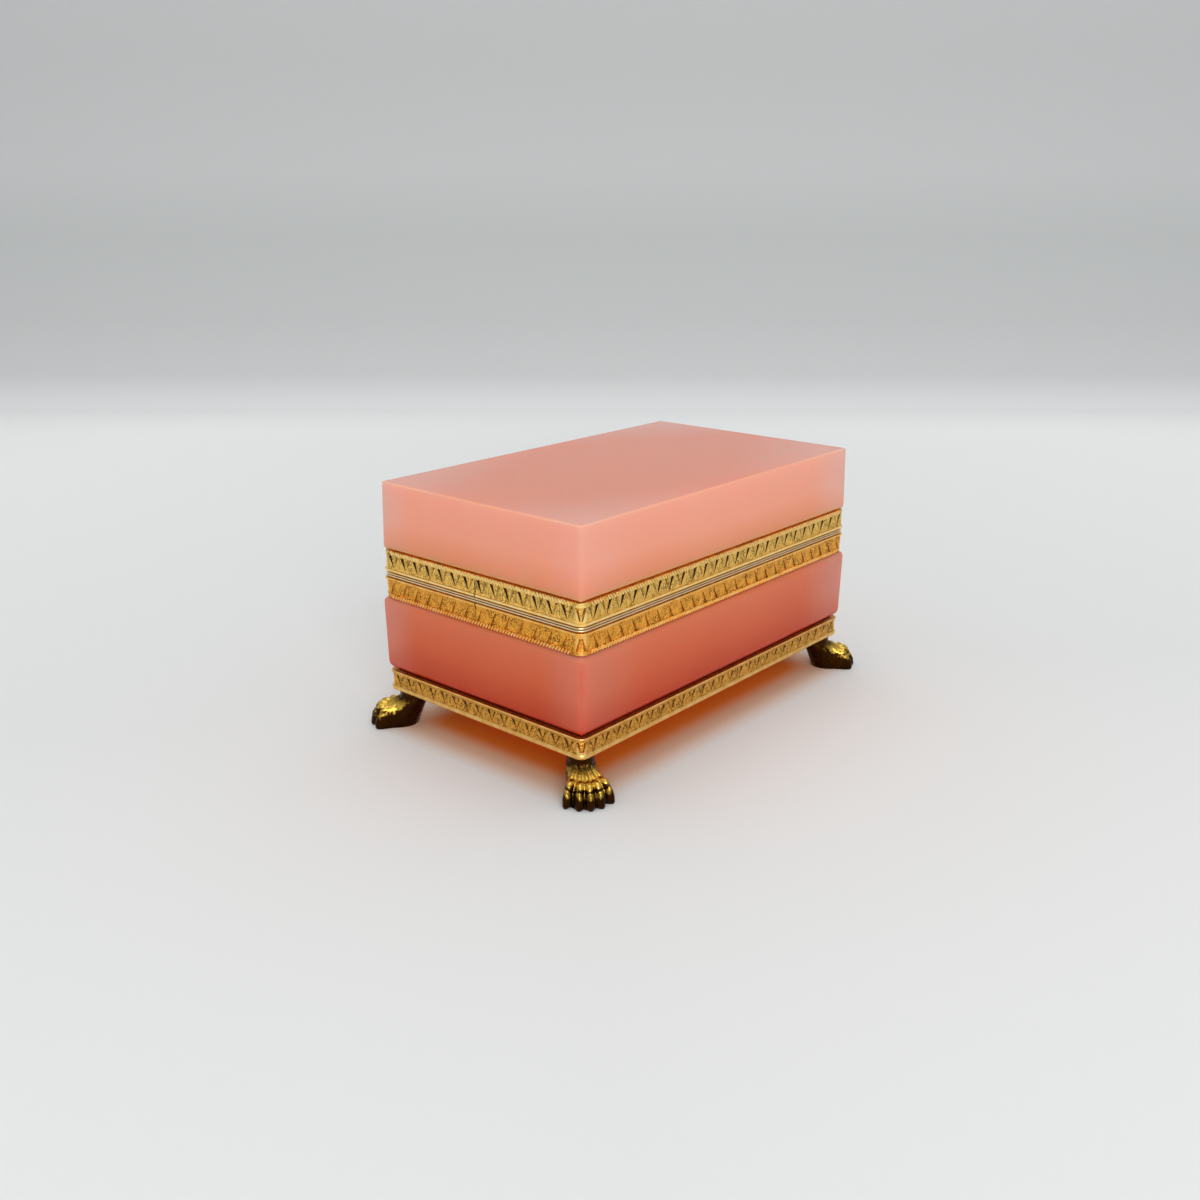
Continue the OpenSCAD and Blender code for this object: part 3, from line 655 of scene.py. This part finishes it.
def mouth_levels(lip, up, edge):
    """Heights and outs of a mouth band, from its plain lip, edge high, to its rope edge, listed from
    low to high. up is 1 where the lip is its lower edge, and -1 where it is the upper one."""
    run = [(0, 0.0003), (0.00015, 0.00045), (edge, 0.00045), (edge + 0.0002, FIELD_OUT), (MOUTH_FIELD_TOP, FIELD_OUT),
           (0.0058, 0.0), (0.0071, 0.0), (0.0072, -0.0001)]
    return sorted((lip + up * rise, out) for rise, out in run)


def rope_row(length, level, lean, size):
    """Slanting strands of the rope edge along one side, each a short rounded rod lying on the rim.
    lean is their slant, in radians, and size their size against the rope at the rim."""
    step = 0.00125 * size                         # from strand to strand
    wide, deep, long = step * 0.62 * size, 0.00064 * size, 0.00155 * size
    strand = start("strand", bpy.ops.mesh.primitive_cylinder_add, vertices=8, radius=0.5, depth=1,
                   location=(0, 0, level), scale=(wide, deep, long))
    pick(strand, "FACE", lambda c, n: abs(n.z) > 0.9)
    bpy.ops.mesh.inset(thickness=0.00015, depth=0.00006)
    bpy.ops.mesh.select_all(action="SELECT")
    bpy.ops.transform.rotate(value=lean, orient_axis="Y", center_override=(0, 0, level))
    bpy.ops.object.mode_set(mode="OBJECT")
    return along(strand, int(length / step), step)


def rope_edge(level, lean, grow, size=1.0):
    """The rope edge on all four sides; it stops short of the corners."""
    short, rope_out = 0.007, 0.00012              # how far it stops short, and how far it stands out
    rows = [rope_row(length - short, level, lean, size) for length in BOX]
    return join(set_round(*rows, rope_out + grow), "rope")


def mouth_row(count, step, lip, up, depth, stroke_depth):
    """One side of a mouth band: leaf points hanging from the rope edge, with a stroke and a dot between."""
    at = lambda rise: lip + up * rise
    low, high = sorted((at(0.0018), at(0.0036)))
    dot_low, dot_high = sorted((at(0.0049), at(0.0056)))
    leaf = leaf_stamp("leaf", half=0.0025, length=up * 0.0042, depth=depth, tip=0.00028, top=at(MOUTH_FIELD_TOP))
    stroke = groove_stamp("stroke", half=0.00014, depth=stroke_depth, low=low, high=high)
    dot = groove_stamp("dot", half=0.00022, depth=stroke_depth, low=dot_low, high=dot_high)
    return leaf_rows(count, step, [leaf], [stroke, dot])


def mouth_stamps(lip, up, depth, stroke_depth):
    """All the stamps of one mouth band: four rows, four corner leaves and the cut of the soldered seam."""
    at = lambda rise: lip + up * rise
    surface = FIELD_OUT + MOUTH_GROW
    corner_leaf = leaf_stamp("corner", half=0.0018, length=up * 0.0041, depth=0.0004 + depth, tip=0.0005,
                             top=at(MOUTH_FIELD_TOP))
    corners = corner_stamps(corner_leaf, surface)
    seam = start("seam", bpy.ops.mesh.primitive_cube_add, size=1,
                 location=(-BOX[0] / 2 - MOUTH_GROW - 0.0004, 0, at(0.0036)), scale=(0.0012, 0.0006, 0.009))
    pick(seam, "FACE", lambda c, n: n.x > 0.9)
    bpy.ops.transform.resize(value=(1, 0.95, 1))
    bpy.ops.object.mode_set(mode="OBJECT")
    rows = [mouth_row(count, step, lip, up, depth, stroke_depth) for count, step in ((24, 0.0061), (14, 0.00605))]
    return join(set_round(*rows, surface) + corners + [seam], "stamps")


BODY_LIP = 0.0544
body_band = band_tube("stamped_body_band", mouth_levels(BODY_LIP, up=-1, edge=0.0006), MOUTH_FIELDS, MOUTH_GROW)
carve(body_band, mouth_stamps(BODY_LIP, up=-1, depth=0.00032, stroke_depth=0.00028))
smooth(body_band, angle=9)
rope = rope_edge(BODY_LIP - ROPE_RISE, lean=-0.7, grow=MOUTH_GROW)
smooth(rope, angle=40)
join([body_band, rope], "stamped_body_band")

# Rubbed gilt: an even warm gold; the shallow strokes keep only a little brown on their walls, dirt and painted shade.
body_gilt = gilt_brass("rubbed_gilt_brass", dark="#5A2C08", field="#FFB646", bright="#FFD080",
                       dark_begins=0.00004, dark_complete=-0.0001, grain=0.8, grow=MOUTH_GROW, soil=1.0)
finish_with(body_band, body_gilt)
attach(body_band, "body")
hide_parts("body_band")


# ---------------------------------------------------------------------------------------------
# Lid band: the strip round the lid's mouth, stamped crisp and deep and the brightest of the three.
# It is bent from one length; its ends meet in a soldered seam at the middle of the left side.

LID_LIP = 0.0566
lid_band = band_tube("stamped_lid_band", mouth_levels(LID_LIP, up=1, edge=0.0008), MOUTH_FIELDS, MOUTH_GROW)
carve(lid_band, mouth_stamps(LID_LIP, up=1, depth=0.0010, stroke_depth=0.00025))
smooth(lid_band, angle=9)
rope = join([rope_edge(LID_LIP + ROPE_RISE, lean=0.7, grow=MOUTH_GROW),
             rope_edge(LID_LIP + 0.0013, lean=0.7, grow=MOUTH_GROW - 0.0001, size=0.5)], "ropes")
smooth(rope, angle=40)
join([lid_band, rope], "stamped_lid_band")

# Bright gilt: pale yellow gold, near-black on the deep walls of the leaves, dirt and painted shade.
lid_gilt = gilt_brass("bright_gilt_brass", dark="#2A0C05", field="#FFCE68", bright="#FFE4A0",
                      dark_begins=0.00006, dark_complete=-0.00002, grain=0.85, grow=MOUTH_GROW, soil=0.85)
finish_with(lid_band, lid_gilt)
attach(lid_band, "lid")
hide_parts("lid_band")


# ---------------------------------------------------------------------------------------------
# Paw feet: four lion's paws cast in brass, each held by one screw from above. Every toe has a
# knuckle, a round pad and a blunt claw. They are black-brown with age, and gold on their upward
# faces as a painted highlight.

FOOT_AT = (0.0697, 0.03905)         # the screw of a foot, from the middle of the box
FRONT_LEFT_TURN = -126              # degrees, undoes the turn of the CAD's front left paw
PAW_REACH, TOE_STEP = 0.0159, 0.0034    # how far the middle toe reaches, and how much less the outer ones
TOE_SIDE, TOE_FAN = 0.0074, 32          # how far out an outer toe's tip lies, and its turn in degrees

# The paw's own form is the front left foot's, moved back to the middle and turned to point along X.
paw = copy_of(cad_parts["foot_front_left"], "paw")
paw.parent = None
paw.rotation_mode = "XYZ"
only(paw)
clean_mesh()
bpy.ops.transform.translate(value=(*FOOT_AT, 0))
bpy.ops.transform.rotate(value=math.radians(FRONT_LEFT_TURN), orient_axis="Z", center_override=(0, 0, 0))
bpy.ops.object.mode_set(mode="OBJECT")


def lobe(reach, side, height, size, turn):
    """A rounded lump of the cast paw, at its reach and height on a toe that is turned and set to the side."""
    return start("lobe", bpy.ops.mesh.primitive_uv_sphere_add, segments=20, ring_count=12, radius=1,
                 location=(reach, side, height), scale=size, rotation=(0, 0, turn))


lumps = [paw]
for i in (-1, -0.5, 0, 0.5, 1):
    tip = (PAW_REACH - TOE_STEP * i * i, TOE_SIDE * i)
    turn = math.radians(TOE_FAN * i)
    back = lambda d: (tip[0] - d * math.cos(turn), tip[1] - d * math.sin(turn))
    knuckle = lobe(*back(0.0046), height=0.0052, size=(0.0030, 0.00165, 0.0026), turn=turn)
    pad = lobe(*back(0.0022), height=0.0024, size=(0.0021, 0.0018, 0.0023), turn=turn)
    claw = lobe(*back(0.0009), height=0.0011, size=(0.0009, 0.0006, 0.0011), turn=turn)
    lumps += [knuckle, pad, claw]
join(lumps, "paw")
skin = paw.modifiers.new("cast", "REMESH")
skin.mode, skin.voxel_size, skin.adaptivity = "VOXEL", 0.00026, 0.0
bpy.ops.object.modifier_apply(modifier="cast")
melt = paw.modifiers.new("melt", "SMOOTH")
melt.factor, melt.iterations = 0.5, 3
bpy.ops.object.modifier_apply(modifier="melt")
pick(paw, "VERT", lambda v: v.z < 0.0002)
bpy.ops.transform.resize(value=(1, 1, 0), center_override=(0, 0, 0))
bpy.ops.object.mode_set(mode="OBJECT")
smooth(paw, angle=60)

# Cast brass: pitted and mottled at about 2 mm, and dark brown, the patina of age, which also stands as
# painted shade on the faces turned from the light. The upward faces between the toes' tips and the neck
# are painted gold, a painted highlight of the light from above.
cast_brass, tree = new_material("dark_cast_brass")
place = add_node(tree, "ShaderNodeTexCoord")
facing = add_node(tree, "ShaderNodeSeparateXYZ", {0: place.outputs["Normal"]})
spot = add_node(tree, "ShaderNodeSeparateXYZ", {0: place.outputs["Object"]})
mottle = add_node(tree, "ShaderNodeTexNoise", {
    "Vector": place.outputs["Object"], "Scale": 520.0, "Detail": 4.0, "Roughness": 0.6})
patchy = add_node(tree, "ShaderNodeMath", {0: mottle, 1: 1.3, 2: -0.65}, operation="MULTIPLY_ADD")
upward = add_node(tree, "ShaderNodeMath", {0: facing.outputs["Z"], 1: patchy}, operation="ADD")
high = add_node(tree, "ShaderNodeMapRange", {VALUE: spot.outputs["Z"], FROM_LOW: 0.0034, FROM_HIGH: 0.0058})
# Painted highlight: faces turned up towards the light from above turn gold.
painted_highlight_up = add_node(tree, "ShaderNodeMapRange", {VALUE: upward, FROM_LOW: 0.30, FROM_HIGH: 0.58})
neck = add_node(tree, "ShaderNodeMapRange", {
    VALUE: spot.outputs["Z"], FROM_LOW: 0.0078, FROM_HIGH: 0.0096, TO_LOW: 1.0, TO_HIGH: 0.1})
zone = add_node(tree, "ShaderNodeMath", {0: high, 1: neck}, operation="MULTIPLY")
gold_share = add_node(tree, "ShaderNodeMath", {0: painted_highlight_up, 1: zone}, operation="MULTIPLY")
brown = add_node(tree, "ShaderNodeMix", {SHARE: mottle, FIRST: linear("#140603"), SECOND: linear("#4C2C0C")},
                 data_type="RGBA")
colour = add_node(tree, "ShaderNodeMix", {SHARE: gold_share, FIRST: brown, SECOND: linear("#E8BC50")}, data_type="RGBA")
gloss = add_node(tree, "ShaderNodeMapRange", {VALUE: mottle, TO_LOW: 0.16, TO_HIGH: 0.36})
relief = add_node(tree, "ShaderNodeBump", {"Height": mottle, "Strength": 0.9, "Distance": 0.0003})
surface = add_node(tree, "ShaderNodeBsdfPrincipled", {
    "Base Color": colour, "Metallic": 1.0, "Roughness": gloss, "Normal": relief})
add_node(tree, "ShaderNodeOutputMaterial", {0: surface})
finish_with(paw, cast_brass)

# Each paw sits at its corner, turned by a few degrees from the diagonal.
for name, sx, sy, turn in (("front_left", -1, -1, 9), ("front_right", 1, -1, 10),
                           ("back_left", -1, 1, -10), ("back_right", 1, 1, 0)):
    foot = copy_of(paw, "paw_" + name)
    only(foot)
    foot.rotation_euler.z = math.atan2(sy, sx) + math.radians(turn)
    foot.location = (sx * FOOT_AT[0], sy * FOOT_AT[1], 0)
    settle()
    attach(foot, "body")
    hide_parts("foot_" + name)
bpy.data.objects.remove(paw)


# ---------------------------------------------------------------------------------------------
# Rim frames, base frame and hinge leaves: cut and filed from brass strip and gilt with the bands.
# The rims' half-round lips are the bright lines beside the split, with a painted highlight; the grooves
# beside them are painted dark as shade in the split.

def finish_cad(nodes, material):
    """Gives these pieces of the CAD one material."""
    for node in nodes:
        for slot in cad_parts[node].material_slots:
            slot.material = material


# Filed gilt: smooth and clean, with a painted highlight on the lips and painted shade in the grooves.
rim_gilt = gilt_brass("filed_gilt_brass", dark="#2A0C05", field="#F0B850", bright="#FFE8C0",
                      dark_begins=0.00078, dark_complete=0.00066, grain=1.0, grow=0.0, soil=0.3)
finish_cad(("lid_rim", "body_rim", "base_frame", "lid_hinge_leaf", "body_hinge_leaf"), rim_gilt)


# ---------------------------------------------------------------------------------------------
# Hinge pin and foot screws: drawn steel, dulled by age, with faint lines along the drawing and
# specks of rust.

# Dulled steel: grey, with a streaky half-shine. The lines lie about 0.3 mm apart, coarser than the
# real ones, and the brown specks are about 0.7 mm across.
steel, tree = new_material("dulled_steel")
place = add_node(tree, "ShaderNodeTexCoord")
drawn = add_node(tree, "ShaderNodeMapping", {"Vector": place.outputs["Object"], "Scale": (120.0, 3000.0, 3000.0)})
lines = add_node(tree, "ShaderNodeTexNoise", {"Vector": drawn, "Scale": 1.0, "Detail": 2.0})
specks = add_node(tree, "ShaderNodeTexNoise", {"Vector": place.outputs["Object"], "Scale": 1400.0, "Detail": 3.0})
rust = add_node(tree, "ShaderNodeMapRange", {VALUE: specks, FROM_LOW: 0.62, FROM_HIGH: 0.72})
grey = add_node(tree, "ShaderNodeMix", {SHARE: lines, FIRST: linear("#8A8A86"), SECOND: linear("#B4B4AE")},
                data_type="RGBA")
tint = add_node(tree, "ShaderNodeMix", {SHARE: rust, FIRST: grey, SECOND: linear("#5A3420")}, data_type="RGBA")
dull = add_node(tree, "ShaderNodeMapRange", {VALUE: lines, TO_LOW: 0.3, TO_HIGH: 0.5})
surface = add_node(tree, "ShaderNodeBsdfPrincipled", {"Base Color": tint, "Metallic": 1.0, "Roughness": dull})
add_node(tree, "ShaderNodeOutputMaterial", {0: surface})
finish_cad(("hinge_pin", "foot_screws"), steel)


# ---------------------------------------------------------------------------------------------
# Setting plaster: the cement that beds the glass in the brass. It is seen only in the crevices,
# painted red-brown there as their shade and the glass's red glow, with a chalky, slightly pitted face.

# Plaster in painted shade: dull red-brown with no shine, a painted shade and glow. The blotches are
# about 6 mm across and the pits about 0.4 mm apart, coarser than the real ones.
cement, tree = new_material("plaster_painted_red")
place = add_node(tree, "ShaderNodeTexCoord")
blotches = add_node(tree, "ShaderNodeTexNoise", {"Vector": place.outputs["Object"], "Scale": 160.0, "Detail": 4.0})
shade = add_node(tree, "ShaderNodeMix", {SHARE: blotches, FIRST: linear("#6A2412"), SECOND: linear("#94503A")},
                 data_type="RGBA")
pores = add_node(tree, "ShaderNodeTexVoronoi", {"Vector": place.outputs["Object"], "Scale": 2500.0})
relief = add_node(tree, "ShaderNodeBump", {"Height": pores, "Strength": 0.3, "Distance": 0.0001})
chalk = add_node(tree, "ShaderNodeMapRange", {VALUE: blotches, TO_LOW: 0.8, TO_HIGH: 0.95})
surface = add_node(tree, "ShaderNodeBsdfPrincipled", {
    "Base Color": shade, "Roughness": chalk, "Specular IOR Level": 0.2, "Normal": relief})
add_node(tree, "ShaderNodeOutputMaterial", {0: surface})
finish_cad(("lid_plaster", "body_plaster", "base_plaster"), cement)
